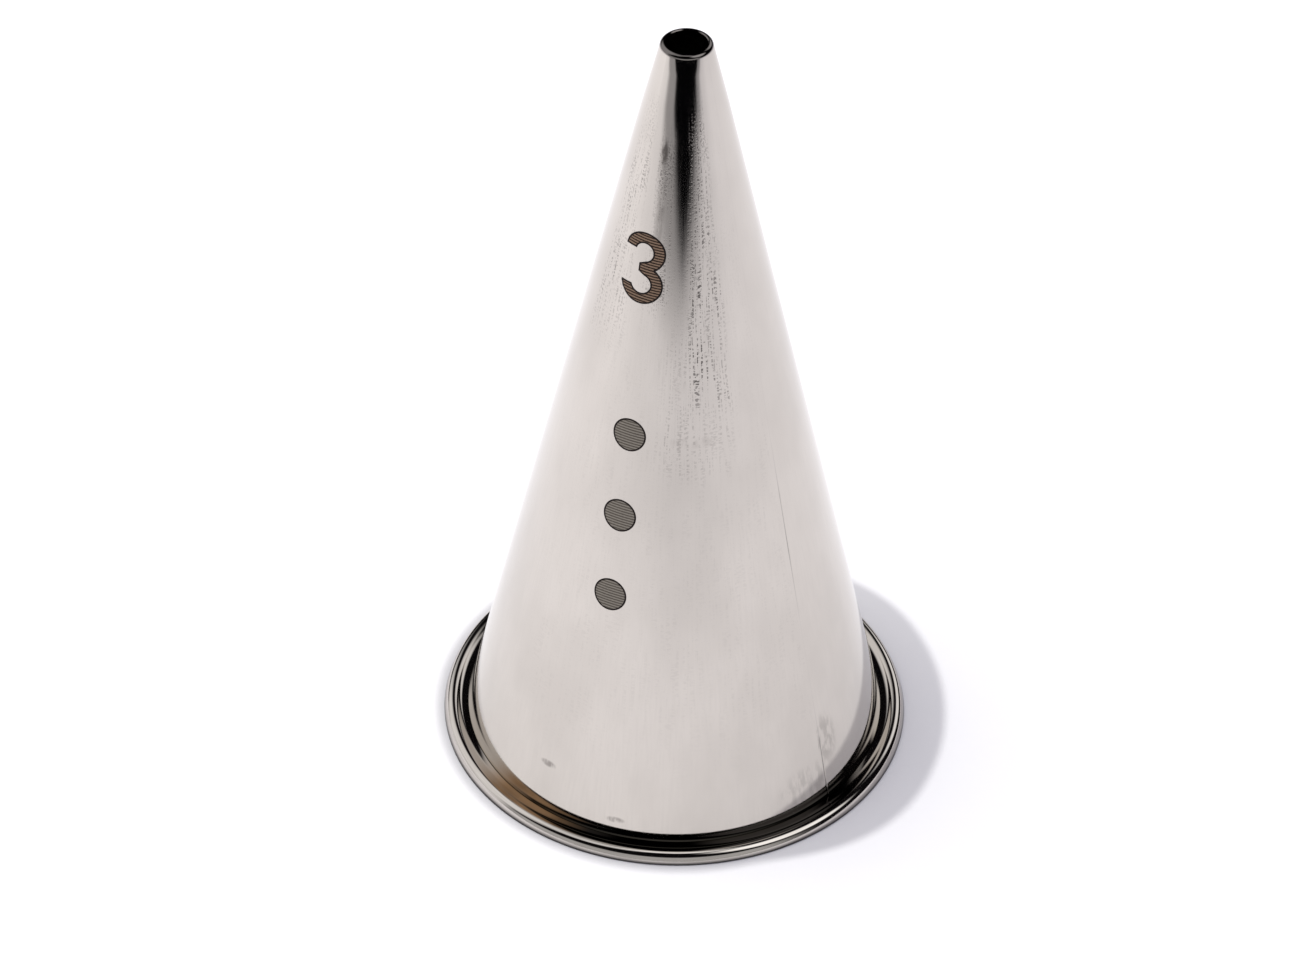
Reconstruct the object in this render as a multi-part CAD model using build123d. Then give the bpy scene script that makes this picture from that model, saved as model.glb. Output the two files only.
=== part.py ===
"""Plain round piping nozzle of stainless steel, standing on its rim with the outlet up.

The nozzle is a sheet rolled into a tall cone and closed by a butt weld down one side.
Its outlet is sized on a punch to a short round land, and its lip is ground to a chamfer. A ring
of thinner stock slips over the cone's foot: its top dips towards the cone, its edge is rolled
down and hemmed under, and a small weld holds it from below.
Origin: centre of the foot, on the surface that the nozzle stands on. +Z: towards the outlet.
-Y: the side with the size mark. Sizes are in millimetres, and angles in degrees.
"""
from build123d import *
from math import acos, atan2, cos, degrees, hypot, tan
import os

# Driving sizes of the cone
nozzle_height = 62.5        # from the surface to the outlet's lip
orifice_diameter = 3.0      # bore of the outlet, which is the nozzle's size number
foot_diameter = 32.24       # outside of the cone where it meets the top of the rim
wall = 0.5                  # thickness of the rolled sheet
outlet_land = 0.5           # length of the round land inside the lip
lip_chamfer = 0.2           # chamfer on the lip's outer edge
seam_width = 0.3            # width of the butt weld down the cone
seam_crown = 0.08           # how far the weld stands proud inside the cone
seam_azimuth = 47.5         # from -Y round towards +X

# Driving sizes of the rim
rim_width = 1.75            # from the cone's foot to the rim's outer edge
rim_sheet = 0.2             # thickness of the rim's stock
seat_width = 0.3            # level stretch of the rim's sheet beside the cone
rim_height = 0.62           # from the surface to the crest of the rim's top
roll_radius = 0.42          # outside radius of the roll between the rim's top and its edge
roll_relief = 0.05          # chamfer inside the roll, which stands for its inside radius
hem_bevel = 0.06            # chamfer outside, where the edge turns back under the rim
hem_return = 0.35           # length of the hem, from the crest inwards
top_fall = 0.2              # how far the rim's top dips from its crest to the cone
ring_clearance = 0.04       # slip fit between the rim's bore and the cone
foot_projection = 0.1       # how far the cone reaches below the rim's sheet
weld_width = 0.25           # width of the fillet weld below the rim's sheet

# One overrun serves every cut
overrun = 1.0

# Largest lip chamfer, as a share of the lip's thickness
lip_chamfer_share = 0.8

# Places that follow from the driving sizes
orifice_radius = orifice_diameter / 2
foot_radius = foot_diameter / 2
rim_radius = foot_radius + rim_width
crest_radius = rim_radius - roll_radius
seat_radius = foot_radius + seat_width
foot_height = rim_height - top_fall
sheet_underside = foot_height - rim_sheet
cone_bottom = sheet_underside - foot_projection
land_start = nozzle_height - outlet_land

# The cone's outer face passes through the foot circle. Its inner face, one wall thickness
# inside and parallel to it, passes through the start of the outlet's land.
cone_run = foot_radius - orifice_radius
cone_rise = land_start - foot_height
half_angle = acos(wall / hypot(cone_run, cone_rise)) - atan2(cone_rise, cone_run)
wall_across = wall / cos(half_angle)


def inner_radius(height):
    """Radius of the cone's inner face at a height."""
    return orifice_radius + (land_start - height) * tan(half_angle)


def outer_radius(height):
    """Radius of the cone's outer face at a height."""
    return inner_radius(height) + wall_across


def revolved(*edges):
    """Solid swept once round the nozzle's axis by a closed outline of radius and height."""
    return revolve(Plane.XZ * make_face(Wire(list(edges))), Axis.Z, 360)


def polygon(*points):
    """Straight edges that close an outline through points of radius and height."""
    return Polyline(*points, close=True).edges()


def cone_envelope(clearance):
    """Solid cone that fills the nozzle's outline, grown sideways by a clearance."""
    low = cone_bottom - overrun
    high = nozzle_height + overrun
    low_radius = outer_radius(low) + clearance
    high_radius = outer_radius(high) + clearance
    return revolved(*polygon((0, low), (low_radius, low), (high_radius, high), (0, high)))


def seam_slot():
    """Upright slab along the seam, as wide as the butt gap, on one side of the axis only."""
    slab = Box(
        seam_width,
        rim_radius + overrun,
        nozzle_height + 2 * overrun,
        align=(Align.CENTER, Align.MAX, Align.MIN),
    )
    return Rot(0, 0, seam_azimuth) * Pos(0, 0, -overrun) * slab


def cone_shell(crown):
    """Conical sheet from its foot to the chamfered lip, thicker inwards by a crown."""
    lip_radius = outer_radius(nozzle_height)
    bore_radius = orifice_radius - crown
    bevel = min(lip_chamfer, lip_chamfer_share * (lip_radius - orifice_radius))
    sheet = make_face(
        polygon(
            (outer_radius(cone_bottom), cone_bottom),
            (lip_radius, nozzle_height),
            (bore_radius, nozzle_height),
            (bore_radius, land_start),
            (inner_radius(cone_bottom) - crown, cone_bottom),
        )
    )
    lip_corner = sheet.vertices().sort_by_distance((lip_radius, nozzle_height))[0]
    return revolve(Plane.XZ * chamfer(lip_corner, bevel), Axis.Z, 360)


def cone_wall():
    """The rolled sheet, open along the butt gap that the seam weld fills."""
    return cone_shell(0) - seam_slot()


def seam_weld():
    """Weld that fills the butt gap, ground flush outside and left proud inside.

    The proud part stops below the land, which the sizing punch leaves clean.
    """
    below_land = Pos(0, 0, cone_bottom) * Cylinder(
        rim_radius,
        land_start - cone_bottom,
        align=(Align.CENTER, Align.CENTER, Align.MIN),
    )
    crowned = cone_shell(seam_crown) & below_land
    return (cone_shell(0) + crowned) & seam_slot()


def ogee():
    """Two equal arcs from the crest to the seat, level at both ends. Gives the two ends, the
    joint and a point on each arc, from the crest."""
    run = crest_radius - seat_radius
    bend_radius = (run**2 + top_fall**2) / (4 * top_fall)
    turn = degrees(atan2(top_fall, run)) * 2
    outer_centre = Vector(crest_radius, rim_height - bend_radius)
    inner_centre = Vector(seat_radius, foot_height + bend_radius)
    up = Vector(0, bend_radius)
    down = Vector(0, -bend_radius)
    outer = [outer_centre + up.rotate(Axis.Z, angle) for angle in (0, turn / 2, turn)]
    inner = [inner_centre + down.rotate(Axis.Z, angle) for angle in (turn / 2, 0)]
    return outer + inner


def rim_ring():
    """Ring with a level seat, an ogee top, an edge rolled down, and a hem turned back under it.

    Its hidden underside is straight, which costs few faces.
    """
    top = ogee()
    inside = foot_radius - wall
    hem_end = crest_radius - hem_return
    wall_radius = rim_radius - rim_sheet
    roll_height = rim_height - roll_radius
    crest_underside = rim_height - rim_sheet
    roll = CenterArc((crest_radius, roll_height), roll_radius, 0, 90)
    section = Polyline(
        (rim_radius, roll_height),
        (rim_radius, hem_bevel),
        (rim_radius - hem_bevel, 0),
        (hem_end, 0),
        (hem_end, rim_sheet),
        (wall_radius, rim_sheet),
        (wall_radius, crest_underside - roll_relief),
        (wall_radius - roll_relief, crest_underside),
        (seat_radius, sheet_underside),
        (inside, sheet_underside),
        (inside, foot_height),
        (seat_radius, foot_height),
    )
    ring = revolved(
        ThreePointArc(top[4], top[3], top[2]),
        ThreePointArc(top[2], top[1], top[0]),
        roll,
        *section.edges(),
    )
    return ring - cone_envelope(ring_clearance)


def rim_weld():
    """Fillet weld in the corner between the cone's lowest edge and the underside of the seat."""
    root_radius = outer_radius(sheet_underside)
    return revolved(
        *polygon(
            (root_radius, sheet_underside),
            (root_radius + weld_width, sheet_underside),
            (outer_radius(cone_bottom), cone_bottom),
        )
    )


os.makedirs("parts", exist_ok=True)
for name, shape in {
    "cone_wall": cone_wall(),
    "seam_weld": seam_weld(),
    "rim_ring": rim_ring(),
    "rim_weld": rim_weld(),
}.items():
    export_step(shape, f"parts/{name}.step")
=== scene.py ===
"""A plain round piping nozzle of stainless steel, standing on its rim on a white table.

Every piece is worked out in millimetres and put into its mesh in metres, in the CAD's frame:
+Z runs up the cone, -Y is the side with the size mark, and azimuths turn from -Y towards +X.
"""
from math import acos, asin, atan2, cos, degrees, hypot, pi, radians, sin, tan

import bpy
import numpy as np
from mathutils import Matrix, Vector


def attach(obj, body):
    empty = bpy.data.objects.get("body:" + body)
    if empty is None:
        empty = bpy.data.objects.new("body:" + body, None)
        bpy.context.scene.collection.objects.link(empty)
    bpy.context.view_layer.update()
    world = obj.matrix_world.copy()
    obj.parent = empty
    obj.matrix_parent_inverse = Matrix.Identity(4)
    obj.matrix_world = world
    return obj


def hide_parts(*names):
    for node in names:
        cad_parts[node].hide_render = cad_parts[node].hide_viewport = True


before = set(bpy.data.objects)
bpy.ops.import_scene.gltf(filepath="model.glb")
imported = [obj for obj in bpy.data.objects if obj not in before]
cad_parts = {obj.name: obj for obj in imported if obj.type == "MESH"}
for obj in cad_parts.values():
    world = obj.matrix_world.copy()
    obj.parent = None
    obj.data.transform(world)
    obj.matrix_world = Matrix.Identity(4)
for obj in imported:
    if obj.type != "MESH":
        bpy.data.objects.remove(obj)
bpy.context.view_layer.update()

# Cone wall. Sheet stainless steel, 0.5 mm thick, rolled into a tall cone and polished along its
# length. The outlet is sized on a punch to a short round land, and its lip is rounded over.
# The sheet is open along one straight butt gap, which the seam weld fills.
MM = 0.001
sharp_edge = radians(40)
nozzle_height = 62.5
orifice_radius = 1.5
foot_radius = 16.12
foot_height = 0.42
cone_bottom = 0.12
wall = 0.5
outlet_land = 0.5
lip_rounding = 0.34
lip_thinning = 0.07
thinned_length = 5.0
inner_lip_break = 0.08
bottom_break = 0.05
seam_width = 0.3
seam_azimuth = radians(47.5)

land_start = nozzle_height - outlet_land
cone_run = foot_radius - orifice_radius
cone_rise = land_start - foot_height
half_angle = acos(wall / hypot(cone_run, cone_rise)) - atan2(cone_rise, cone_run)
wall_across = wall / cos(half_angle)


def inner_radius(height):
    """Radius of the cone's inner face at a height."""
    return orifice_radius + (land_start - height) * tan(half_angle)


def outer_radius(height):
    """Radius of the cone's outer face at a height."""
    return inner_radius(height) + wall_across


def around(radius, height, azimuth):
    """Points at a radius, a height and an azimuth from -Y towards +X, in millimetres."""
    radius, height, azimuth = np.broadcast_arrays(radius, height, azimuth)
    return np.stack([radius * np.sin(azimuth), -radius * np.cos(azimuth), height], -1)


def grid_quads(rows, columns, close_rows=False, close_columns=False):
    """Quads of a grid of points. Gives each quad's four point numbers, and its four rows and
    columns counted on past the last one where the grid closes on itself."""
    row, column = np.meshgrid(
        np.arange(rows if close_rows else rows - 1),
        np.arange(columns if close_columns else columns - 1),
        indexing="ij",
    )
    corner_row = np.stack([row, row, row + 1, row + 1], -1).reshape(-1, 4)
    corner_column = np.stack([column, column + 1, column + 1, column], -1).reshape(-1, 4)
    quads = (corner_row % rows) * columns + corner_column % columns
    return quads, corner_row, corner_column


def solid_piece(name, points, quads, material, turn=None):
    """A smooth mesh object from points in millimetres and quads. The turn is the UV of each
    quad's corners: the share of a turn round the axis, and a length along the section."""
    mesh = bpy.data.meshes.new(name)
    mesh.from_pydata((points.reshape(-1, 3) * MM).tolist(), [], quads.tolist())
    mesh.polygons.foreach_set("use_smooth", np.ones(len(quads), dtype=bool))
    if turn is not None:
        layer = mesh.uv_layers.new(name="turn")
        layer.data.foreach_set("uv", turn.astype(np.float32).ravel())
    mesh.set_sharp_from_angle(angle=sharp_edge)
    mesh.materials.append(material)
    mesh.validate()
    piece = bpy.data.objects.new(name, mesh)
    bpy.context.scene.collection.objects.link(piece)
    return piece


class Nodes:
    """A material's node tree with short ways to add and link what this nozzle's finishes use."""

    def __init__(self, tree):
        self.tree = tree
        tree.nodes.clear()

    def add(self, kind, inputs=None, **settings):
        node = self.tree.nodes.new(kind)
        for setting, value in settings.items():
            setattr(node, setting, value)
        for key, value in (inputs or {}).items():
            if isinstance(value, bpy.types.NodeSocket):
                self.tree.links.new(value, node.inputs[key])
            else:
                node.inputs[key].default_value = value
        return node

    def math(self, operation, first, second=0.0, clamp=False):
        """One number from two."""
        node = self.add("ShaderNodeMath", {0: first, 1: second}, operation=operation, use_clamp=clamp)
        return node.outputs[0]

    def ramp(self, value, low, high, to_low=0.0, to_high=1.0, smooth=True):
        """A number carried from one range to another, held at its ends."""
        kind = "SMOOTHSTEP" if smooth else "LINEAR"
        inputs = {"Value": value, "From Min": low, "From Max": high, "To Min": to_low, "To Max": to_high}
        node = self.add("ShaderNodeMapRange", inputs, interpolation_type=kind)
        return node.outputs["Result"]

    def noise(self, place, scale, stretch=(1, 1, 1), detail=2.0):
        """Cloudy noise of 0 to 1, finer along the axes with the larger stretch."""
        placed = self.add("ShaderNodeMapping", {"Vector": place, "Scale": stretch})
        inputs = {"Vector": placed.outputs[0], "Scale": scale, "Detail": detail, "Roughness": 0.6}
        return self.add("ShaderNodeTexNoise", inputs).outputs["Fac"]

    def mix(self, share, first, second, blend="MIX"):
        """One colour from two."""
        node = self.add("ShaderNodeMix", {"Factor": share}, data_type="RGBA", blend_type=blend)
        for key, value in (("A", first), ("B", second)):
            socket = [s for s in node.inputs if s.name == key and s.type == "RGBA"][0]
            if isinstance(value, bpy.types.NodeSocket):
                self.tree.links.new(value, socket)
            else:
                socket.default_value = value
        return [s for s in node.outputs if s.type == "RGBA"][0]

    def rolled_out(self, share, per_turn, height, per_mm, detail):
        """Noise on the unrolled sheet, with so many cells in a turn and in a millimetre."""
        cells = self.join(self.math("MULTIPLY", share, per_turn), self.math("MULTIPLY", height, per_mm))
        return self.noise(cells, 1.0, detail=detail)

    def split(self, vector):
        """The three parts of a vector."""
        return self.add("ShaderNodeSeparateXYZ", {"Vector": vector}).outputs

    def off_axis(self, x, y):
        """Distance from the nozzle's axis."""
        return self.math("SQRT", self.math("ADD", self.math("MULTIPLY", x, x), self.math("MULTIPLY", y, y)))

    def nearness(self, towards, middle):
        """How near two directions are: the cosine of the angle between them."""
        node = self.add("ShaderNodeVectorMath", {0: towards, 1: middle}, operation="DOT_PRODUCT")
        return node.outputs["Value"]

    def join(self, x, y, z=0.0):
        """A vector from its parts."""
        return self.add("ShaderNodeCombineXYZ", {"X": x, "Y": y, "Z": z}).outputs[0]

    def bump(self, height, distance, normal=None):
        """A normal tilted by the slope of a height of 0 to 1."""
        inputs = {"Height": height, "Distance": distance, "Strength": 1.0}
        if normal is not None:
            inputs["Normal"] = normal
        return self.add("ShaderNodeBump", inputs).outputs[0]

    def surface(self, **inputs):
        """The metal's shader and the material's output."""
        names = {key.replace("_", " "): value for key, value in inputs.items()}
        shader = self.add("ShaderNodeBsdfPrincipled", names)
        self.add("ShaderNodeOutputMaterial", {"Surface": shader.outputs[0]})
        return shader


# The polish: how many streaks, finer hairs, and columns and rungs of pits go round the cone
streaks_per_turn = 460.0
hairs_per_turn = 1500.0
ladders_per_turn = 300.0
rungs_per_turn = 150.0
rungs_per_mm = 5.5
groove_depth = 0.0000003
pit_depth = 0.000003
burr_below_lip = (0.34, 0.14)
tint_above_foot = (0.60, 0.27)
STEEL = (0.600, 0.562, 0.520, 1.0)
STEEL_SHADE = (0.545, 0.509, 0.470, 1.0)
LIP_BURR = (0.10, 0.09, 0.09, 1.0)
PIT = (0.10, 0.09, 0.085, 1.0)
SMUDGE_AND_PAINTED_SHADE = (0.20, 0.18, 0.165, 1.0)
HEAT_TINT = (0.36, 0.31, 0.19, 1.0)

# Bands of polishing pits: azimuth from and to in degrees, height from and to, strength
pit_bands = (
    (-70, -34, 38.0, 60.0, 0.60),
    (-30, -6, 42.0, 59.0, 0.50),
    (3, 32, 33.0, 61.8, 0.85),
    (-16, 34, 29.0, 43.0, 0.26),
    (-75, 85, 2.0, 60.0, 0.06),
)
# Soft dark smudges, the two low on the right partly painted shade: azimuth in degrees, height, half width and
# half height, strength
smudges_and_painted_shade = (
    (-21.5, 55.4, 0.34, 1.3, 0.80),
    (-20.0, 51.0, 0.40, 5.0, 0.34),
    (-38.0, 4.6, 0.85, 0.34, 0.55),
    (-15.5, 2.0, 0.90, 0.30, 0.55),
    # These two are partly smudges and partly painted shade: the table's shadow as the polish would show it.
    (49.5, 5.6, 1.5, 2.6, 0.30),
    (42.0, 2.6, 3.4, 2.2, 0.22),
    (8.0, 33.5, 2.2, 0.6, 0.14),
)


def satin_steel(name, hairline):
    """Stainless sheet polished along the cone: fine upright streaks, pits, and smudges, two of them partly
    painted shade.
    """
    material = bpy.data.materials.new(name)
    material.use_nodes = True
    n = Nodes(material.node_tree)
    turn = n.add("ShaderNodeUVMap", uv_map="turn").outputs[0]
    place = n.add("ShaderNodeTexCoord").outputs["Object"]
    share, height, _ = n.split(turn)
    streak = n.rolled_out(share, streaks_per_turn, height, 0.35, 3.0)
    hair = n.rolled_out(share, hairs_per_turn, height, 0.9, 2.0)
    cloud = n.noise(place, 140.0, stretch=(1, 1, 0.5), detail=3.0)

    # Pits lie in the bands, as close short ticks that climb in columns like the rungs of ladders
    column = n.rolled_out(share, ladders_per_turn, height, 0.25, 1.0)
    tick = n.rolled_out(share, rungs_per_turn, height, rungs_per_mm, 1.0)
    rung = n.math("MULTIPLY", n.ramp(column, 0.46, 0.58), n.ramp(tick, 0.46, 0.60))
    patchy = n.ramp(n.noise(place, 420.0, stretch=(1, 1, 0.6), detail=2.0), 0.40, 0.60, 0.45, 1.0)
    pits = None
    for west, east, low, high, amount in pit_bands:
        mid = ((west + east) / 2 - degrees(seam_azimuth)) % 360 / 360
        reach = (east - west) / 360 / 2
        beside = n.ramp(n.math("ABSOLUTE", n.math("SUBTRACT", share, mid)), reach, 0.55 * reach)
        middle = (low + high) / 2
        off_middle = n.math("ABSOLUTE", n.math("SUBTRACT", height, middle))
        along = n.ramp(off_middle, high - middle, 0.6 * (high - middle))
        band = n.math("MULTIPLY", n.math("MULTIPLY", beside, along), amount)
        pits = band if pits is None else n.math("MAXIMUM", pits, band)
    pit = n.math("MULTIPLY", n.math("MULTIPLY", rung, pits), patchy)

    # Smudges, two of them partly painted shade, are soft spots broken up by the streaks
    dark = None
    for azimuth, level, half_width, half_height, strength in smudges_and_painted_shade:
        mid = (azimuth - degrees(seam_azimuth)) % 360 / 360
        across = n.math("MULTIPLY", n.math("SUBTRACT", share, mid), 2 * pi * outer_radius(level) / half_width)
        along = n.math("DIVIDE", n.math("SUBTRACT", height, level), half_height)
        far = n.math("ADD", n.math("MULTIPLY", across, across), n.math("MULTIPLY", along, along))
        spot = n.ramp(far, 1.0, 0.05, 0.0, strength)
        dark = spot if dark is None else n.math("MAXIMUM", dark, spot)
    broken = n.noise(place, 2200.0, stretch=(1, 1, 0.25), detail=3.0)
    dark = n.math("MULTIPLY", dark, n.ramp(broken, 0.38, 0.62, 0.1, 1.3))
    burr_start, burr_full = [nozzle_height - below for below in burr_below_lip]
    burr = n.ramp(height, burr_start, burr_full, 0.0, 0.9)

    # The weld's heat tints the cone just above the ring
    tint_start, tint_full = [foot_height + above for above in tint_above_foot]
    tint = n.ramp(height, tint_start, tint_full, 0.0, 0.45)
    colour = n.mix(n.ramp(cloud, 0.35, 0.7), STEEL, STEEL_SHADE)
    colour = n.mix(n.ramp(streak, 0.35, 0.75, 0.0, 0.35), colour, STEEL_SHADE)
    colour = n.mix(tint, colour, HEAT_TINT)
    colour = n.mix(burr, colour, LIP_BURR)
    colour = n.mix(dark, colour, SMUDGE_AND_PAINTED_SHADE)
    colour = n.mix(pit, colour, PIT)
    if hairline is not None:
        line = n.add("ShaderNodeAttribute", attribute_name=hairline).outputs["Fac"]
        colour = n.mix(line, colour, PIT)
    worn = n.math("ADD", n.math("MULTIPLY", streak, 0.7), n.math("MULTIPLY", hair, 0.3))
    rough = n.ramp(worn, 0.3, 0.7, 0.04, 0.085)
    rough = n.math("ADD", rough, n.math("MULTIPLY", pit, 0.15))
    relief = n.math("ADD", n.math("MULTIPLY", streak, 0.6), n.math("MULTIPLY", hair, 0.4))
    grooves = n.bump(relief, groove_depth)
    dents = n.bump(n.math("SUBTRACT", 1.0, pit), pit_depth, grooves)
    n.surface(Base_Color=colour, Metallic=1.0, Roughness=rough, Normal=dents)
    return material


def cone_section():
    """The wall's closed section, outside from the bottom up and then inside from the lip down,
    with equal numbers of points on both sides: straight lines, and an arc round the lip."""
    lip_centre_height = nozzle_height - lip_rounding
    lip_centre_radius = outer_radius(lip_centre_height) - lip_rounding / cos(half_angle)
    turn = np.linspace(half_angle, pi / 2, 10)
    lip_radius = lip_centre_radius + lip_rounding * np.cos(turn)
    lip = np.stack([lip_radius, lip_centre_height + lip_rounding * np.sin(turn)], 1)
    lip[:, 0] -= lip_thinning
    heights = np.linspace(cone_bottom + bottom_break, lip[0, 1], 54)[:-1]
    thinned = np.clip(1 - (nozzle_height - heights) / thinned_length, 0, 1)
    outside = np.stack([outer_radius(heights) - lip_thinning * thinned, heights], 1)
    outer_toe = [[outer_radius(cone_bottom) - bottom_break, cone_bottom]]
    bore = [
        [orifice_radius + inner_lip_break, nozzle_height],
        [orifice_radius, nozzle_height - inner_lip_break],
        [orifice_radius, nozzle_height - outlet_land / 2],
    ]
    inner_toe = [[inner_radius(cone_bottom) + bottom_break, cone_bottom]]
    count = len(outer_toe) + len(outside) + len(lip) - len(bore) - len(inner_toe)
    heights = np.linspace(land_start, cone_bottom + bottom_break, count)
    inside = np.stack([inner_radius(heights), heights], 1)
    return np.concatenate([outer_toe, outside, lip, bore, inside, inner_toe])


def walled_quads(rows, columns):
    """Quads of a wall whose section closes on itself, with its two ends closed across it."""
    quads, _, _ = grid_quads(rows, columns, close_rows=True)
    climb = np.arange(rows // 2 - 1)
    mirror = rows - 1 - climb
    first = np.stack([climb, climb + 1, mirror - 1, mirror], 1) * columns
    last = np.stack([climb, mirror, mirror - 1, climb + 1], 1) * columns + columns - 1
    return np.concatenate([quads, first, last])


def rolled_sheet(section, columns, material):
    """The section carried round the axis from one side of the butt gap to the other. A point's
    azimuth is the seam's, plus the gap's half angle at its radius, plus its share of the rest."""
    radius, height = section[:, :1], section[:, 1:]
    gap = np.arcsin(seam_width / 2 / radius)
    share = np.linspace(0, 1, columns)[None, :]
    points = around(radius, height, seam_azimuth + gap + share * (2 * pi - 2 * gap))
    rows = len(section)
    every = walled_quads(rows, columns)
    point_row = every // columns
    turn = np.stack([(every % columns) / (columns - 1), section[point_row, 1]], -1)
    return solid_piece("cone_sheet", points, every, material, turn)


cone_sheet = rolled_sheet(cone_section(), 361, satin_steel("satin_steel", None))
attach(cone_sheet, "root")
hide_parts("cone_wall")

# Seam weld. The weld metal that closes the butt gap from foot to lip, ground flush outside and
# left slightly proud inside. Where the edges didn't quite meet, a hairline shows beside it.
seam_crown = 0.08
hairline_depth = 0.03
hairline_half_width = 0.035
hairline_place = 0.06
# The strip's lines as shares of its width, closest together at the hairline
strip_shares = (-0.5, -0.3, -0.1, 0.02, 0.08, 0.12, 0.15, 0.18, 0.2, 0.22, 0.25, 0.28, 0.33, 0.42, 0.5)


def hairline_strength(height):
    """How open the hairline is along the seam: most in two stretches, faint between them."""
    upper = np.exp(-(((height - 24.0) / 4.2) ** 2))
    lower = np.exp(-(((height - 3.0) / 3.2) ** 2))
    ragged = 0.75 + 0.25 * np.sin(height * 3.1) * np.sin(height * 1.7 + 0.6)
    return np.clip((0.85 * upper + 1.0 * lower) * ragged + 0.03, 0, 1)


def weld_strip(section, material):
    """The gap's own section, carried across the gap. Outside it lies on the cone's face, less a
    narrow groove whose depth falls off as a bell curve; inside it is proud by the crown."""
    rows = len(section)
    across = np.array(strip_shares)[None, :] * seam_width
    radius, height = section[:, :1], section[:, 1:]
    outside = (np.arange(rows) < rows // 2)[:, None] & (height < land_start)
    below_land = (np.arange(rows) >= rows // 2)[:, None] & (height < land_start - seam_crown)
    bell = np.exp(-(((across - hairline_place) / hairline_half_width) ** 2))
    line = bell * hairline_strength(height) * outside
    crown = seam_crown * below_land * np.cos(pi * across / seam_width) ** 0.5
    reach = np.sqrt(radius**2 - across**2)
    depth = reach - hairline_depth * line - crown
    forward = around(depth, height, seam_azimuth)
    side = np.array([cos(seam_azimuth), sin(seam_azimuth), 0.0])
    points = forward + across[..., None] * side
    columns = across.shape[1]
    every = walled_quads(rows, columns)
    turn = np.stack([0.0 * every, section[every // columns, 1]], -1)
    piece = solid_piece("seam_strip", points, every, material, turn)
    layer = piece.data.attributes.new("hairline", "FLOAT", "POINT")
    layer.data.foreach_set("value", line.astype(np.float32).ravel())
    return piece


seam_strip = weld_strip(cone_section(), satin_steel("ground_weld", "hairline"))
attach(seam_strip, "root")
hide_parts("seam_weld")

# Rim ring. Thinner bright stainless sheet, drawn to an ogee top that dips towards the cone,
# rolled down at its edge and hemmed under. The nozzle stands on the hem.
rim_radius = 17.93
rim_height = 0.87
rim_sheet = 0.2
top_fall = 0.2
roll_radius = 0.566
roll_turn = radians(60.0)
edge_turn = radians(75.0)
fold_radius = 0.06
seat_radius = 16.42
hem_return = 0.67
ring_clearance = 0.04
seat_height = rim_height - top_fall
seat_underside = seat_height - rim_sheet
# The web is painted: black in front and behind, a painted dark reflection, and brown on the left front,
# partly heat tint and partly a painted reflection. At the sides it stays plain steel.
brown_azimuth = radians(-52.0)
brown_reach = radians(30.0)
plain_web_from = radians(50.0)
plain_web_to = radians(66.0)
painted_web_past_crest = (0.12, -0.04)
# The fold is painted dark towards the table, a painted contact shade.
fold_shade_top = 0.42
fold_shade_full = 0.06
die_groove = 0.0000002
wave_height = 0.003

# The roll turns down to a slanted edge, which bends a little more on its way to the fold. The
# edge's bend and the crest's place follow from the heights that they have to meet
edge_fall = rim_height - roll_radius * (1 - cos(roll_turn)) - fold_radius * (1 + cos(edge_turn))
edge_bend = edge_fall / (cos(roll_turn) - cos(edge_turn))
edge_run = edge_bend * (sin(edge_turn) - sin(roll_turn))
fold_run = fold_radius * (1 - sin(edge_turn))
crest_radius = rim_radius - fold_run - edge_run - roll_radius * sin(roll_turn)
BRIGHT = (0.56, 0.525, 0.495, 1.0)
BRIGHT_SHADE = (0.46, 0.425, 0.395, 1.0)
WEB_HEAT_TINT_AND_PAINTED_REFLECTION = (0.26, 0.155, 0.080, 1.0)
WEB_PAINTED_DARK_REFLECTION = (0.006, 0.005, 0.005, 1.0)
FOLD_PAINTED_SHADE = (0.02, 0.02, 0.022, 1.0)


def oval(centre, axes, start, end, count):
    """Points of an upright oval between two angles in degrees."""
    turn = np.radians(np.linspace(start, end, count))
    return np.stack([centre[0] + axes[0] * np.cos(turn), centre[1] + axes[1] * np.sin(turn)], 1)


def ring_section():
    """The ring's closed section, against the clock as seen along the azimuth: the hem's floor,
    the edge, the roll, the ogee down to the level seat, and back one sheet further in."""
    top_bore = outer_radius(seat_height) + ring_clearance
    low_bore = outer_radius(seat_underside) + ring_clearance
    roll = (crest_radius, rim_height - roll_radius)
    past = roll_radius - edge_bend
    edge = (roll[0] + past * sin(roll_turn), roll[1] + past * cos(roll_turn))
    roll_end = 90 - degrees(roll_turn)
    edge_end = 90 - degrees(edge_turn)
    roll_lining = roll_radius - rim_sheet
    edge_lining = edge_bend - rim_sheet
    hem_meets = degrees(asin((rim_sheet - edge[1]) / edge_lining))
    run = crest_radius - seat_radius
    bend = (run**2 + top_fall**2) / (4 * top_fall)
    slope = degrees(2 * atan2(top_fall, run))
    crest = (crest_radius, rim_height - bend)
    seat = (seat_radius, seat_height + bend)
    fold = (rim_radius - fold_radius, fold_radius)
    hem_end = (fold[0] - hem_return, rim_sheet / 2)
    parts = [
        oval(hem_end, (rim_sheet / 2, rim_sheet / 2), 90, 270, 9),
        oval(fold, (fold_radius, fold_radius), -90, edge_end, 8),
        oval(edge, (edge_bend, edge_bend), edge_end, roll_end, 14)[1:],
        oval(roll, (roll_radius, roll_radius), roll_end, 90, 26)[1:],
        oval(crest, (bend, bend), 90, 90 + slope, 10)[1:],
        oval(seat, (bend, bend), -90 + slope, -90, 10)[1:],
        [[top_bore, seat_height], [low_bore, seat_underside]],
        oval(seat, (bend + rim_sheet, bend + rim_sheet), -90, -90 + slope, 6),
        oval(roll, (roll_lining, roll_lining), 90, roll_end, 10),
        oval(edge, (edge_lining, edge_lining), roll_end, hem_meets, 5)[1:],
    ]
    return np.concatenate(parts)


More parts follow.
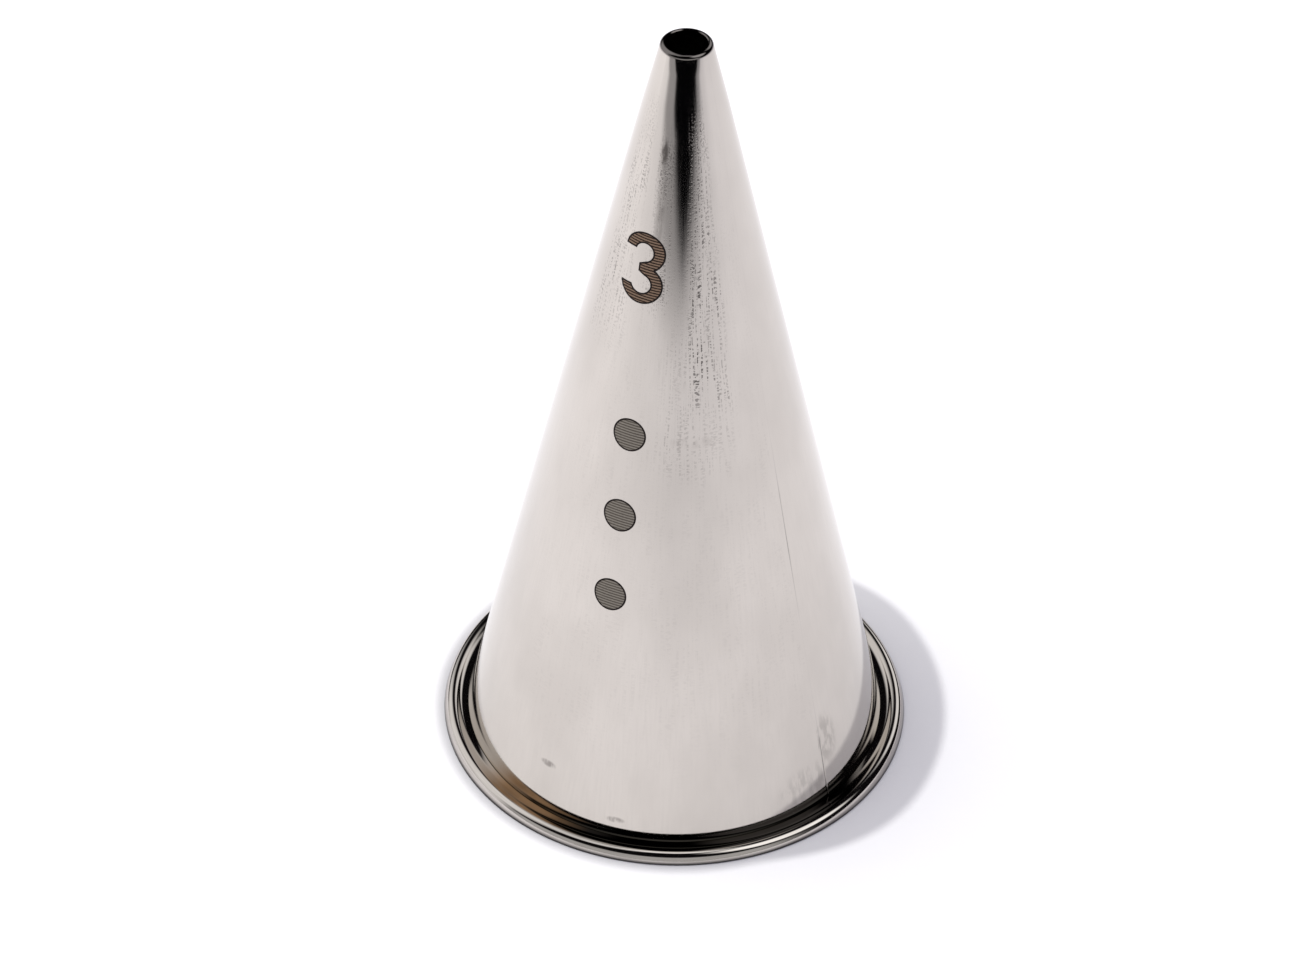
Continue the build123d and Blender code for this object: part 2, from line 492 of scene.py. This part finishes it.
def bright_steel():
    """Bright drawn steel: faint rings left by the die; a web painted black in front and behind, a painted
    dark reflection, and painted brown on one side, partly heat tint and partly a painted reflection; and a
    fold painted dark towards the table, a painted contact shade."""
    material = bpy.data.materials.new("bright_steel")
    material.use_nodes = True
    n = Nodes(material.node_tree)
    turn = n.add("ShaderNodeUVMap", uv_map="turn").outputs[0]
    place = n.add("ShaderNodeTexCoord").outputs["Object"]
    share, length, _ = n.split(turn)
    rings = n.rolled_out(share, 26.0, length, 16.0, 3.0)
    blotch = n.noise(place, 260.0, detail=3.0)
    x, y, z = n.split(place)
    radius = n.off_axis(x, y)
    eastward = n.math("MULTIPLY", x, sin(brown_azimuth))
    side = n.math("ADD", eastward, n.math("MULTIPLY", y, -cos(brown_azimuth)))
    brown = n.ramp(n.math("DIVIDE", side, radius), cos(brown_reach), cos(brown_reach / 3))
    brown = n.math("MULTIPLY", brown, n.ramp(blotch, 0.2, 0.6, 0.6, 1.0))
    web = n.mix(brown, WEB_PAINTED_DARK_REFLECTION, WEB_HEAT_TINT_AND_PAINTED_REFLECTION)
    sideways = n.math("DIVIDE", n.math("ABSOLUTE", x), radius)
    web = n.mix(n.ramp(sideways, sin(plain_web_from), sin(plain_web_to)), web, BRIGHT_SHADE)
    # Inside the crest the web takes its painted colour: painted dark reflection, and brown that is partly a
    # painted reflection.
    painted_web_start, painted_web_full = [(crest_radius + past) * MM for past in painted_web_past_crest]
    painted_web = n.ramp(radius, painted_web_start, painted_web_full, 0.0, 0.97)
    # Painted contact shade: the ring is painted darker towards the table at its fold.
    fold_shade = n.ramp(z, fold_shade_top * MM, fold_shade_full * MM, 0.0, 0.97)
    colour = n.mix(n.ramp(rings, 0.35, 0.7), BRIGHT, BRIGHT_SHADE)
    colour = n.mix(n.ramp(blotch, 0.45, 0.75, 0.0, 0.5), colour, BRIGHT_SHADE)
    colour = n.mix(painted_web, colour, web)
    colour = n.mix(fold_shade, colour, FOLD_PAINTED_SHADE)
    rough = n.ramp(rings, 0.3, 0.7, 0.05, 0.10)
    grooves = n.bump(rings, die_groove)
    n.surface(Base_Color=colour, Metallic=1.0, Roughness=rough, Normal=grooves)
    return material


def turned_ring(name, section, columns, wave, material):
    """A closed section carried once round the axis, with a small wave added to radius and
    height. Its UV is the share of the turn and the length run along the section."""
    azimuth = np.linspace(0, 2 * pi, columns, endpoint=False)[None, :]
    radius, height = wave(section[:, :1], section[:, 1:], azimuth)
    points = around(radius, height, azimuth)
    quads, row, column = grid_quads(len(section), columns, close_rows=True, close_columns=True)
    step = np.linalg.norm(np.diff(section, axis=0, append=section[:1]), axis=1)
    run = np.concatenate([[0.0], np.cumsum(step)])
    turn = np.stack([column / columns, run[row]], -1)
    return solid_piece(name, points, quads, material, turn)


def drawn_unevenly(radius, height, azimuth):
    """A hand-finished ring isn't quite even: slow waves of a few microns in its height."""
    slow = 0.5 * np.sin(3 * azimuth + 0.7) + 0.3 * np.sin(7 * azimuth) + 0.2 * np.sin(16 * azimuth + 2)
    upper = np.clip((height - rim_sheet) / (rim_height - rim_sheet), 0, 1)
    lift = wave_height * (slow - 1) * upper
    return radius + 0 * azimuth, height + lift


rim = turned_ring("rim_ring_drawn", ring_section(), 512, drawn_unevenly, bright_steel())
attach(rim, "root")
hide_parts("rim_ring")

# Rim weld. A small fillet of weld metal laid round the cone's foot, in the corner under the
# ring's seat. It is left as laid, with the ripples of the moving torch.
weld_width = 0.25
weld_height = 0.1
weld_sag = 0.015
weld_ripple = 0.012
weld_ripples = 180
WELD = (0.47, 0.415, 0.35, 1.0)
WELD_HEATED = (0.24, 0.21, 0.22, 1.0)


def raw_weld():
    """Weld metal left as laid: dull, rippled, straw to blue from the heat."""
    material = bpy.data.materials.new("raw_weld")
    material.use_nodes = True
    n = Nodes(material.node_tree)
    place = n.add("ShaderNodeTexCoord").outputs["Object"]
    cloud = n.noise(place, 500.0, detail=4.0)
    grain = n.noise(place, 6000.0, detail=2.0)
    colour = n.mix(n.ramp(cloud, 0.35, 0.65), WELD, WELD_HEATED)
    rough = n.ramp(cloud, 0.3, 0.7, 0.3, 0.5)
    n.surface(Base_Color=colour, Metallic=1.0, Roughness=rough, Normal=n.bump(grain, 0.000003))
    return material


def bead_section():
    """A triangle of cone side, seat side and a bead's face that sags between their ends."""
    root = outer_radius(seat_underside)
    toe_height = seat_underside - weld_height
    toe = np.array([outer_radius(toe_height), toe_height])
    brim = np.array([root + weld_width, seat_underside])
    share = np.linspace(0, 1, 7)[:, None]
    face = toe + (brim - toe) * share + np.array([-weld_sag, weld_sag]) * np.sin(pi * share)
    return np.concatenate([face, [[root, seat_underside]]])


def rippled(radius, height, azimuth):
    """The bead's face drawn in and out by half moons that follow one another round the foot."""
    root = outer_radius(seat_underside)
    outward = np.clip((radius - root) / weld_width, 0, 1)
    off_root = 4 * outward * np.clip((seat_underside - height) / weld_height, 0, 1)
    phase = weld_ripples * azimuth + 2.2 * off_root
    draw = weld_ripple * off_root * (np.sin(phase) - 1)
    return radius + draw, height - 0.5 * draw


weld_bead = turned_ring("weld_bead", bead_section(), 1080, rippled, raw_weld())
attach(weld_bead, "root")
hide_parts("rim_weld")

# Size mark. The figure 3, burnt into the polish by a laser that draws its outline and then
# fills it with close level lines. It has no depth to speak of.
mark_azimuth = radians(-28.8)
mark_height = 46.4
mark_lift = 0.008
hatch_pitch = 0.21
outline_width = 0.11
outline_blur = 0.04
hatch_relief = 0.000004
MARK_LIGHT = (0.270, 0.185, 0.125, 1.0)
MARK_DARK = (0.024, 0.013, 0.008, 1.0)
MARK_EDGE = (0.014, 0.009, 0.008, 1.0)


def on_cone(flat, azimuth, height, lift):
    """Flat points laid on the cone about a middle: the first number runs round the cone, and
    the second runs up its slope. Lift is measured square to the face."""
    level = height + flat[..., 1] * cos(half_angle)
    radius = outer_radius(level)
    angle = azimuth + flat[..., 0] / radius
    return around(radius + lift * cos(half_angle), level + lift * sin(half_angle), angle)


def ribbon(left, right, columns):
    """A flat grid between two lines with equal numbers of points."""
    share = np.linspace(0, 1, columns)[None, :, None]
    return left[:, None] * (1 - share) + right[:, None] * share


def far_from(points, line):
    """Distance of each flat point from the nearest stretch of a closed line."""
    start = line
    run = np.roll(line, -1, 0) - line
    off = points.reshape(-1, 1, 2) - start
    share = np.clip((off * run).sum(-1) / np.maximum((run**2).sum(-1), 1e-12), 0, 1)
    gap = np.linalg.norm(off - share[..., None] * run, axis=-1)
    return gap.min(1).reshape(points.shape[:-1])


def laser_mark(name, patches, outline, azimuth, height, material):
    """Thin closed plates on the cone, one for each flat grid: a face just above the steel, the
    same face just below it, and quads round the edge. Each point knows how far in it lies."""
    all_points, all_quads, all_edges, count = [], [], [], 0
    for patch in patches:
        rows, columns = patch.shape[:2]
        top = on_cone(patch, azimuth, height, mark_lift)
        base = on_cone(patch, azimuth, height, -mark_lift)
        quads, _, _ = grid_quads(rows, columns)
        number = np.arange(rows * columns).reshape(rows, columns)
        rim_line = np.concatenate([number[0, :-1], number[:-1, -1], number[-1, :0:-1], number[:0:-1, 0]])
        beyond = np.roll(rim_line, -1)
        size = rows * columns
        sides = np.stack([rim_line, rim_line + size, beyond + size, beyond], 1)
        flat = patch[1, 0] - patch[0, 0], patch[0, 1] - patch[0, 0]
        upright = flat[1][0] * flat[0][1] - flat[1][1] * flat[0][0]
        faces = np.concatenate([quads, quads[:, ::-1] + size, sides])
        if upright < 0:
            faces = faces[:, ::-1]
        edge = far_from(patch, outline)
        all_points.append(np.concatenate([top.reshape(-1, 3), base.reshape(-1, 3)]))
        all_quads.append(faces + count)
        all_edges.append(np.concatenate([edge.ravel(), edge.ravel()]))
        count += 2 * size
    piece = solid_piece(name, np.concatenate(all_points), np.concatenate(all_quads), material)
    layer = piece.data.attributes.new("inset", "FLOAT", "POINT")
    layer.data.foreach_set("value", np.concatenate(all_edges).astype(np.float32))
    return piece


def burnt_steel(name, light, dark):
    """Steel browned by a laser: a dark outline, and hatching with clean steel between lines."""
    material = bpy.data.materials.new(name)
    material.use_nodes = True
    n = Nodes(material.node_tree)
    place = n.add("ShaderNodeTexCoord").outputs["Object"]
    inset = n.add("ShaderNodeAttribute", attribute_name="inset").outputs["Fac"]
    level = n.split(place)[2]
    pitch = hatch_pitch * MM * cos(half_angle)
    wave = n.math("SINE", n.math("MULTIPLY", level, 2 * pi / pitch))
    grain = n.noise(place, 9000.0, detail=2.0)
    wave = n.math("ADD", wave, n.math("MULTIPLY", n.math("SUBTRACT", grain, 0.5), 1.6))
    hatch = n.ramp(wave, -0.7, 0.7)
    edge = n.ramp(inset, outline_width + outline_blur, outline_width)
    colour = n.mix(hatch, dark, light)
    colour = n.mix(edge, colour, MARK_EDGE)
    relief = n.bump(n.math("MULTIPLY", hatch, n.math("SUBTRACT", 1.0, edge)), hatch_relief)
    n.surface(Base_Color=colour, Metallic=0.0, Roughness=0.6, Specular_IOR_Level=0.12, Normal=relief)
    return material


def straight(start, end, count):
    """Points of a straight line between two points."""
    share = np.linspace(0, 1, count)[:, None]
    return np.array(start) * (1 - share) + np.array(end) * share


def figure_three():
    """Two open bowls, each a ribbon between two ovals, that meet on a level line at the waist."""
    upper, lower = (-0.15, 1.25), (-0.15, -1.20)
    notch, stub = (0.84, 0.048), (-0.46, 0.045)
    stub_top, stub_foot = (-0.46, 0.36), (-0.46, -0.27)
    outer_top = oval(upper, (1.64, 1.53), 174.6, -53.0, 70)
    inner_top = oval(upper, (0.70, 0.68), 168.5, -75.0, 70)
    outer_low = oval(lower, (1.72, 1.55), 55.0, -171.2, 70)
    inner_low = oval(lower, (0.78, 0.71), 75.0, -161.6, 70)
    top = ribbon(
        np.concatenate([inner_top, straight(inner_top[-1], stub_top, 14)[1:]]),
        np.concatenate([outer_top, straight(notch, stub, 14)[1:]]), 11,
    )
    low = ribbon(
        np.concatenate([straight(stub_foot, inner_low[0], 14)[:-1], inner_low]),
        np.concatenate([straight(stub, notch, 14)[:-1], outer_low]), 11,
    )
    outline = np.concatenate([outer_top, outer_low, inner_low[::-1], [stub_foot, stub_top], inner_top[::-1]])
    return [top, low], outline


patches, outline = figure_three()
figure = laser_mark(
    "size_figure", patches, outline, mark_azimuth, mark_height,
    burnt_steel("laser_mark", MARK_LIGHT, MARK_DARK),
)
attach(figure, "root")

# Size dots. Three round dots in a column below the figure, one for each millimetre of the
# opening, so that the size can be told at a glance. They are burnt in the same way.
dot_azimuth = radians(-25.0)
dot_heights = (33.5, 27.0, 20.5)
dot_radius = 1.3
dot_lines = 33
DOT_LIGHT = (0.29, 0.262, 0.218, 1.0)
DOT_DARK = (0.100, 0.088, 0.068, 1.0)


def round_dot():
    """The dot's outline, as points round a circle."""
    return oval((0, 0), (dot_radius, dot_radius), 0, 360, 97)


def square_disc(radius, count):
    """A square grid pressed into a disc: each point is drawn in by the share of its distance
    that the corners overreach."""
    side = np.linspace(-1, 1, count)
    x, y = np.meshgrid(side, side, indexing="ij")
    return radius * np.stack([x * np.sqrt(1 - y**2 / 2), y * np.sqrt(1 - x**2 / 2)], -1)


dots = burnt_steel("laser_dots", DOT_LIGHT, DOT_DARK)
for number, level in enumerate(dot_heights, 1):
    disc = square_disc(dot_radius, dot_lines)
    dot = laser_mark(f"size_dot_{number}", [disc], round_dot(), dot_azimuth, level, dots)
    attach(dot, "root")

# Table. A wide sheet of plain white paper that carries the nozzle's shadow. A little of its white is its own,
# for the eye and for polished metal only, so that it reads white. That glow is held back near the ring and
# further out on the right, a painted shade, and is stronger on the left, a painted light.
table_reach = 2.4
table_sink = 0.00002
paper_grain = 0.00002
table_glow = 0.36
# Painted light: extra glow on the left. Painted shade: no glow near the ring, and on the right the glow
# starts further out.
painted_left_light = 0.07
painted_left_light_reach = 0.05
contact_shade_glow_start = 18.0
contact_shade_glow_full = 19.1
painted_right_shadow_reach = 2.6
TABLE = (0.86, 0.86, 0.86, 1.0)


def paper():
    """Matt white paper, which shows some white of its own outside the ring: less near the ring and on the
    right, painted shade, and more on the left, painted light.
    """
    material = bpy.data.materials.new("white_paper")
    material.use_nodes = True
    n = Nodes(material.node_tree)
    place = n.add("ShaderNodeTexCoord").outputs["Object"]
    grain = n.noise(place, 900.0, detail=2.0)
    x, y, _ = n.split(place)
    radius = n.off_axis(x, y)
    rightward = n.math("DIVIDE", x, radius)
    matt = n.add("ShaderNodeBsdfDiffuse", {"Color": TABLE, "Normal": n.bump(grain, paper_grain)})
    path = n.add("ShaderNodeLightPath").outputs
    seen = n.math("MAXIMUM", path["Is Camera Ray"], path["Is Glossy Ray"])
    # Painted light on the left, and painted shade near the ring and wider on the right, all in the glow.
    left = n.ramp(x, 0.0, -painted_left_light_reach, table_glow, table_glow + painted_left_light)
    shadowed_radius = n.math("SUBTRACT", radius, n.ramp(rightward, 0.3, 0.9, 0.0, painted_right_shadow_reach * MM))
    outside = n.math("MULTIPLY", n.ramp(shadowed_radius, contact_shade_glow_start * MM, contact_shade_glow_full * MM), left)
    glow = n.add("ShaderNodeEmission", {"Color": (1, 1, 1, 1), "Strength": n.math("MULTIPLY", seen, outside)})
    both = n.add("ShaderNodeAddShader", {0: matt.outputs[0], 1: glow.outputs[0]})
    n.add("ShaderNodeOutputMaterial", {"Surface": both.outputs[0]})
    return material


def flat_sheet(name, low, high, height, material):
    """A level rectangle between two corners, in metres."""
    mesh = bpy.data.meshes.new(name)
    corners = [(low[0], low[1]), (high[0], low[1]), (high[0], high[1]), (low[0], high[1])]
    mesh.from_pydata([(x, y, height) for x, y in corners], [], [(0, 1, 2, 3)])
    mesh.materials.append(material)
    sheet = bpy.data.objects.new(name, mesh)
    bpy.context.scene.collection.objects.link(sheet)
    return sheet


flat_sheet("table", (-table_reach, -table_reach), (table_reach, table_reach), -table_sink, paper())

# Dark card. Black cloth on the table in front, out of the camera's view. The table darkens by
# degrees towards it, more on the left, and the cloth ends in a blunt corner that points at the
# nozzle. Only polished metal shows it, as the stripe below the outlet.
card_half_width = 1.4
card_height = 0.0004
card_near = -0.030
card_far = -2.3
dusk_slant = 0.20
dusk_start = -0.165
dusk_end = -0.250
corner_slant = 0.46
corner_start = -0.206
corner_end = -0.256


def dark_cloth():
    """Black that covers the table more and more from its near edge to a full black."""
    material = bpy.data.materials.new("dark_cloth")
    material.use_nodes = True
    n = Nodes(material.node_tree)
    place = n.add("ShaderNodeTexCoord").outputs["Object"]
    x, y, _ = n.split(place)
    slanted = n.math("ADD", y, n.math("MULTIPLY", x, dusk_slant))
    cornered = n.math("ADD", y, n.math("MULTIPLY", n.math("ABSOLUTE", x), corner_slant))
    shown = n.ramp(slanted, card_near, dusk_start, 1.0, 0.86)
    shown = n.math("MULTIPLY", shown, n.ramp(slanted, dusk_start, dusk_end, 1.0, 0.40))
    shown = n.math("MULTIPLY", shown, n.ramp(cornered, corner_start, corner_end, 1.0, 0.0))
    cover = n.math("SUBTRACT", 1.0, shown)
    clear = n.add("ShaderNodeBsdfTransparent")
    black = n.add("ShaderNodeEmission", {"Color": (0.0008, 0.0008, 0.0012, 1), "Strength": 1.0})
    both = n.add("ShaderNodeMixShader", {0: cover, 1: clear.outputs[0], 2: black.outputs[0]})
    n.add("ShaderNodeOutputMaterial", {"Surface": both.outputs[0]})
    return material


cloth_low = (-card_half_width, card_far)
cloth_high = (card_half_width, card_near)
cloth = flat_sheet("dark_card", cloth_low, cloth_high, card_height, dark_cloth())
cloth.visible_camera = False
cloth.visible_diffuse = False
cloth.visible_shadow = False
cloth.visible_transmission = False

# Studio. A white room for the eye, an even fill for matt things, and for polished metal a dark
# room with a white wall behind on the left, soft boxes on the right, behind it and overhead, and a
# low wall in front. One large lamp high on the left casts the shadow.
fill_strength = 0.60
FILL = (1.0, 0.98, 1.12, 1.0)
DARK_ROOM = (0.004, 0.0035, 0.004, 1.0)
# What polished metal sees: azimuth and elevation of a light's middle, where it starts to fade
# and where it ends, both as angles from its middle, and its strength
room_lights = (
    (-120.0, 40.0, 22.0, 40.0, 1.15),
    (-105.0, 8.0, 20.0, 36.0, 1.0),
    (-105.0, 68.0, 12.0, 22.0, 0.95),
    (72.0, 56.0, 14.0, 28.0, 1.7),
    (180.0, 83.0, 6.0, 13.0, 1.3),
    (150.0, 33.0, 9.0, 19.0, 1.2),
)
# A low white wall in front: its middle's azimuth, its top edge, and its strength
wall_azimuth = -15.0
wall_top = (28.0, 14.0)
wall_ends = (85.0, 50.0)
wall_strength = 0.6
key_azimuth = radians(-110.0)
key_elevation = radians(52.0)
key_distance = 0.9
key_size = 1.3
key_power = 5.0
KEY = (1.0, 0.985, 0.90)


def aimed(azimuth, elevation):
    """A direction from an azimuth from -Y towards +X and an elevation, in radians."""
    return Vector((sin(azimuth) * cos(elevation), -cos(azimuth) * cos(elevation), sin(elevation)))


def studio_world():
    """The room's light: white to the camera, an even fill for matt things, and for polish the
    room's lights, each shown by how near a direction points to its middle."""
    world = bpy.data.worlds.new("studio")
    world.use_nodes = True
    bpy.context.scene.world = world
    n = Nodes(world.node_tree)
    towards = n.add("ShaderNodeTexCoord").outputs["Generated"]
    shine = None
    for azimuth, elevation, fade, end, strength in room_lights:
        middle = aimed(radians(azimuth), radians(elevation))
        light = n.ramp(n.nearness(towards, middle), cos(radians(end)), cos(radians(fade)), 0.0, strength)
        shine = light if shine is None else n.math("MAXIMUM", shine, light)
    ahead = aimed(radians(wall_azimuth), 0.0)
    facing = n.nearness(towards, ahead)
    between = n.ramp(facing, cos(radians(wall_ends[0])), cos(radians(wall_ends[1])), 0.0, wall_strength)
    below = n.ramp(n.split(towards)[2], sin(radians(wall_top[0])), sin(radians(wall_top[1])))
    shine = n.math("MAXIMUM", shine, n.math("MULTIPLY", between, below))
    path = n.add("ShaderNodeLightPath").outputs
    dim = n.add("ShaderNodeBackground", {"Color": DARK_ROOM, "Strength": 1.0})
    lit = n.add("ShaderNodeBackground", {"Color": (1, 1, 1, 1), "Strength": shine})
    polish = n.add("ShaderNodeAddShader", {0: dim.outputs[0], 1: lit.outputs[0]})
    fill = n.add("ShaderNodeBackground", {"Color": FILL, "Strength": fill_strength})
    white = n.add("ShaderNodeBackground", {"Color": (1, 1, 1, 1), "Strength": 1.0})
    shiny = n.add("ShaderNodeMixShader", {0: path["Is Glossy Ray"], 1: fill.outputs[0], 2: polish.outputs[0]})
    seen = n.math("MAXIMUM", path["Is Camera Ray"], path["Is Transmission Ray"])
    both = n.add("ShaderNodeMixShader", {0: seen, 1: shiny.outputs[0], 2: white.outputs[0]})
    n.add("ShaderNodeOutputWorld", {"Surface": both.outputs[0]})


studio_world()
key_data = bpy.data.lights.new("key_lamp", "AREA")
key_data.shape = "DISK"
key_data.size = key_size
key_data.energy = key_power
key_data.color = KEY
key_place = aimed(key_azimuth, key_elevation) * key_distance
key_lamp = bpy.data.objects.new("key_lamp", key_data)
key_lamp.location = key_place
key_lamp.rotation_mode = "QUATERNION"
key_lamp.rotation_quaternion = (-key_place).to_track_quat("-Z", "Y")
key_lamp.visible_glossy = False
bpy.context.scene.collection.objects.link(key_lamp)

# Camera. It stands 0.35 m away, 43 degrees above the table, and is turned by about a degree.
camera_place = Vector((0.0, -0.25844663, 0.24176548))
camera_aim = Vector((-0.00212050, 0.0, 0.02198023))
camera_roll = radians(0.789)
camera_lens = 125.376
camera_sensor = 36.0

camera_data = bpy.data.cameras.new("camera")
camera_data.sensor_fit = "HORIZONTAL"
camera_data.sensor_width = camera_sensor
camera_data.lens = camera_lens
camera_data.clip_start = 0.01
camera_data.clip_end = 20.0
camera = bpy.data.objects.new("camera", camera_data)
ahead = (camera_aim - camera_place).normalized()
level_right = ahead.cross(Vector((0, 0, 1))).normalized()
level_up = level_right.cross(ahead)
right = level_right * cos(camera_roll) + level_up * sin(camera_roll)
up = right.cross(ahead)
camera.matrix_world = Matrix.Translation(camera_place) @ Matrix((right, up, -ahead)).transposed().to_4x4()
bpy.context.scene.collection.objects.link(camera)
bpy.context.scene.camera = camera
bpy.context.scene.view_settings.view_transform = "Standard"
